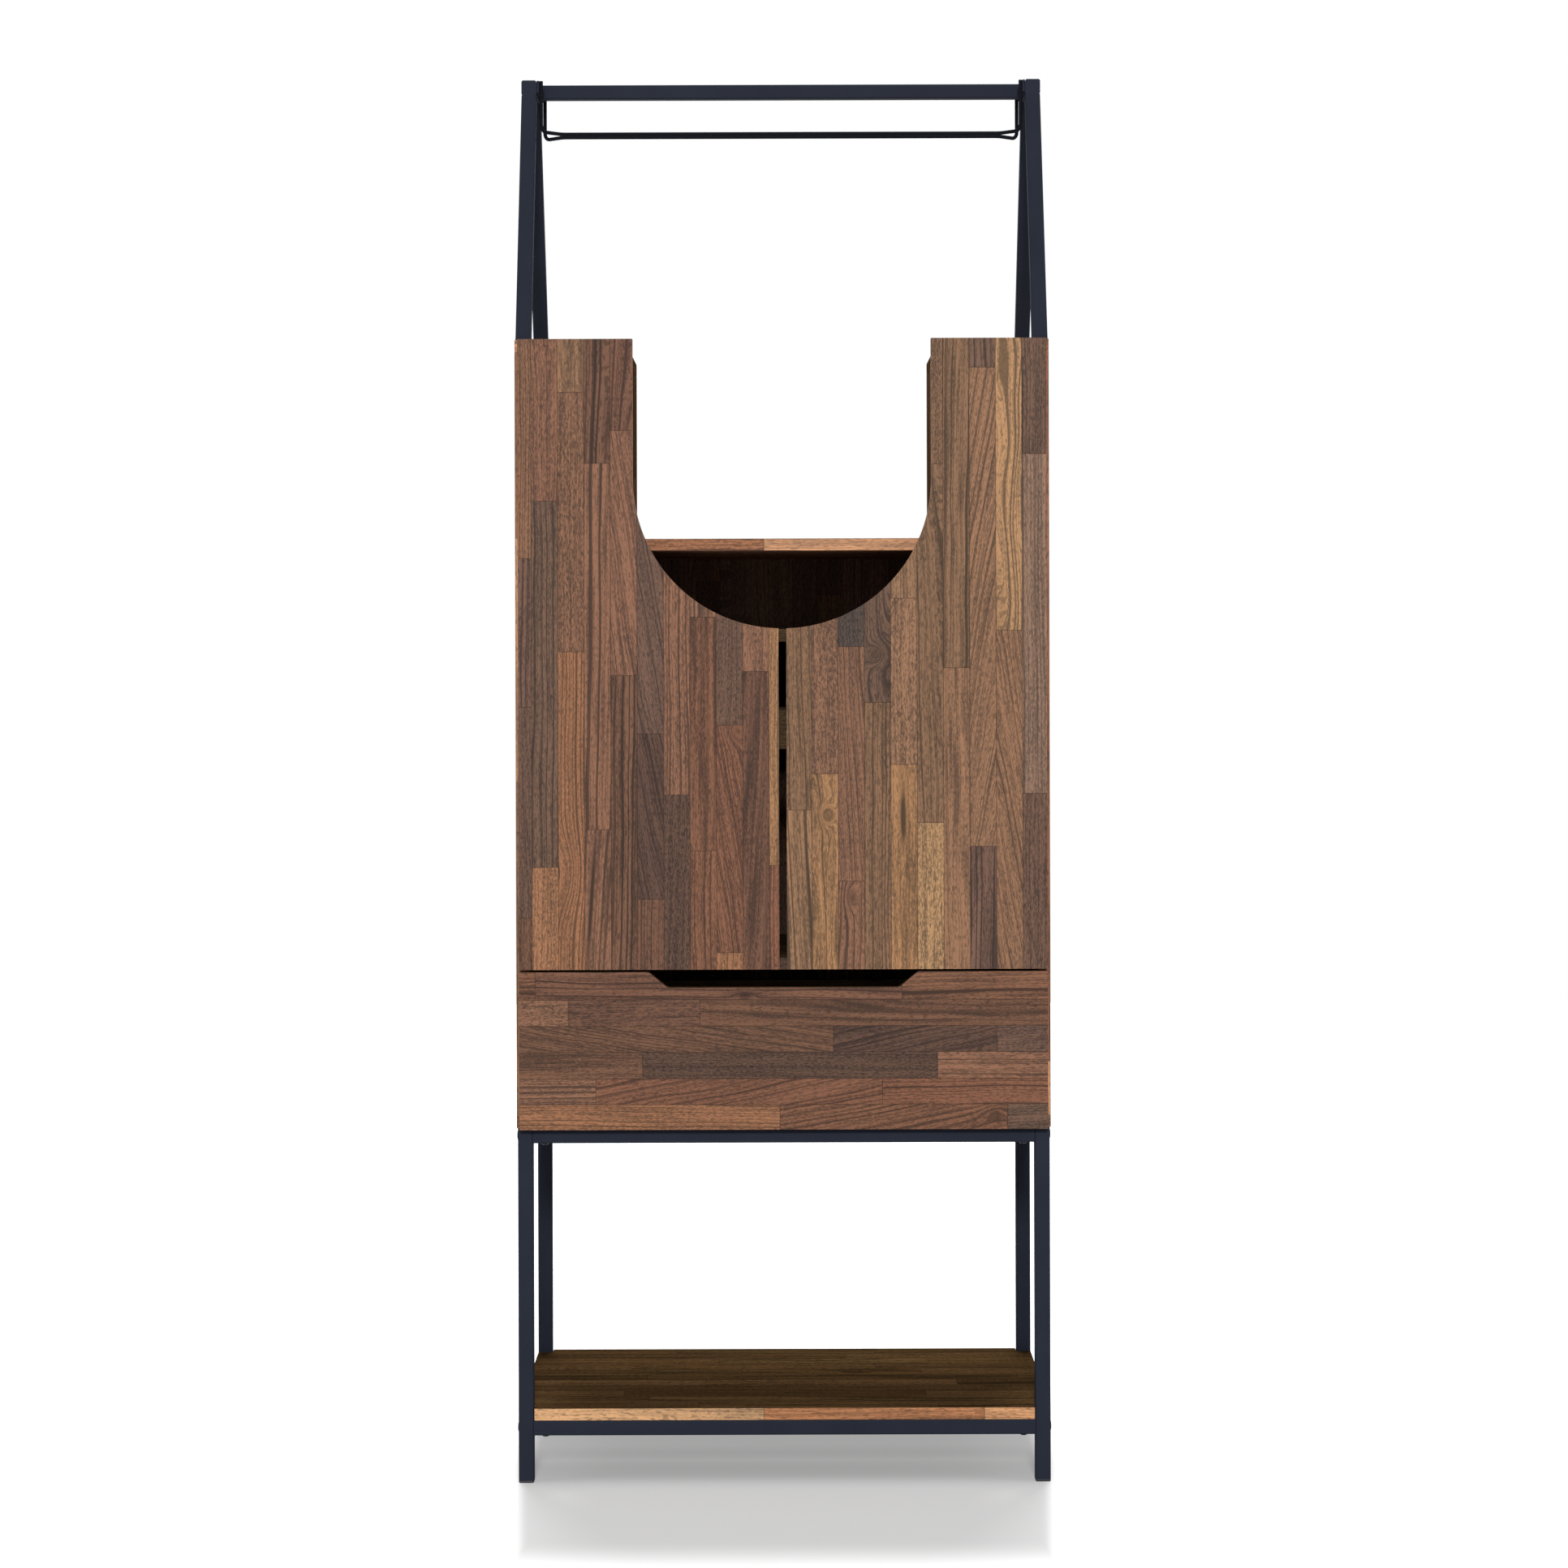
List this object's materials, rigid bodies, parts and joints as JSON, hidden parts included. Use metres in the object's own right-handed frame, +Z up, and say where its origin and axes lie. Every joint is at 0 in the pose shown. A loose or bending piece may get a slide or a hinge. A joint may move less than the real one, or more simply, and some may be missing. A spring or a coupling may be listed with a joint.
{
  "type": "wine cabinet",
  "caption": "Free-standing wine cabinet with arched doors, a finger-notch drawer and an open niche on a square-tube leg frame with a shelf, under a gallery that hangs stemmed glasses.",
  "frame": {"origin": "on the floor, under the middle of the cabinet's width and overall depth", "axes": "+X to the right as seen from the front, +Y towards the back, +Z up; the doors and the drawer face -Y"},
  "size_m": [0.7, 0.399, 1.858],
  "materials": {
    "walnut_laminate": "stave-pattern walnut-look laminate, satin",
    "brown_hardboard": "printed brown hardboard, matte",
    "drawer_box_board": "brown foil on thin board, matte",
    "powder_coated_steel": "fine-textured dark powder coat",
    "black_screws": "black zinc",
    "black_plastic": "matte moulded",
    "zinc_hardware": "bright zinc plate",
    "clear_pads": "soft translucent bumper",
    "runner_enamel": "white epoxy coat",
    "white_nylon": "moulded nylon"
  },
  "bodies": {
    "carcass": {"back_panel": "brown_hardboard", "bottom_board": "walnut_laminate", "cabinet_runners": "runner_enamel", "cam_dowels": "zinc_hardware", "cam_locks": "zinc_hardware", "drawer_deck": "walnut_laminate", "foot_bar_screws": "black_screws", "foot_caps": "black_plastic", "frame_bolts": "black_screws", "front_bottle_rail": "walnut_laminate", "front_left_leg": "powder_coated_steel", "front_rack_rod": "powder_coated_steel", "front_right_leg": "powder_coated_steel", "front_shelf_rail": "powder_coated_steel", "front_top_rail": "powder_coated_steel", "hinge_arms": "zinc_hardware", "hinge_plates": "zinc_hardware", "left_a_frame": "powder_coated_steel", "left_side_panel": "walnut_laminate", "left_side_rails": "powder_coated_steel", "left_top_board": "walnut_laminate", "left_tower_wall": "walnut_laminate", "lower_shelf": "walnut_laminate", "magnet_catches": "black_plastic", "middle_shelf": "walnut_laminate", "niche_shelf": "walnut_laminate", "rack_plates": "powder_coated_steel", "rail_screws": "black_screws", "rear_bottle_rail": "walnut_laminate", "rear_left_leg": "powder_coated_steel", "rear_rack_rod": "powder_coated_steel", "rear_right_leg": "powder_coated_steel", "rear_shelf_rail": "powder_coated_steel", "rear_top_rail": "powder_coated_steel", "right_a_frame": "powder_coated_steel", "right_side_panel": "walnut_laminate", "right_side_rails": "powder_coated_steel", "right_top_board": "walnut_laminate", "right_tower_wall": "walnut_laminate", "stop_pads": "clear_pads", "top_rail": "powder_coated_steel", "top_rail_bolts": "black_screws", "tower_backs": "brown_hardboard"},
    "left_door_leaf": {"left_door": "walnut_laminate", "left_hinge_cups": "zinc_hardware", "left_hinge_pins": "zinc_hardware", "left_strike_plate": "zinc_hardware"},
    "right_door_leaf": {"right_door": "walnut_laminate", "right_hinge_cups": "zinc_hardware", "right_hinge_pins": "zinc_hardware", "right_strike_plate": "zinc_hardware"},
    "drawer": {"drawer_front": "walnut_laminate", "drawer_left_side": "drawer_box_board", "drawer_right_side": "drawer_box_board", "drawer_back": "drawer_box_board", "drawer_bottom": "brown_hardboard", "drawer_runners": "runner_enamel"},
    "cabinet_rollers": {"cabinet_rollers": "white_nylon"},
    "drawer_rollers": {"drawer_rollers": "white_nylon"}
  },
  "joints": [
    {"name": "left_door_hinge", "type": "hinge", "parent": "carcass", "child": "left_door_leaf", "pos_m": [-0.3376, -0.1925, 0.674], "axis": [0, 0, -1], "range_deg": [0, 95]},
    {"name": "right_door_hinge", "type": "hinge", "parent": "carcass", "child": "right_door_leaf", "pos_m": [0.3376, -0.1925, 0.674], "axis": [0, 0, 1], "range_deg": [0, 95]},
    {"name": "drawer_slide", "type": "slide", "parent": "carcass", "child": "drawer", "axis": [0, -1, 0], "range_m": [0, 0.26]},
    {"name": "cabinet_roller_spin", "type": "hinge", "parent": "carcass", "child": "cabinet_rollers", "pos_m": [0, -0.1665, 0.5085], "axis": [1, 0, 0], "range_deg": [0, 1870]},
    {"name": "drawer_roller_spin", "type": "hinge", "parent": "drawer", "child": "drawer_rollers", "pos_m": [0, 0.1525, 0.508], "axis": [1, 0, 0], "range_deg": [0, 1870]}
  ],
  "couplings": [
    {"joint": "cabinet_roller_spin", "follows": "drawer_slide", "rad_per_m": 125},
    {"joint": "drawer_roller_spin", "follows": "drawer_slide", "rad_per_m": 125}
  ]
}
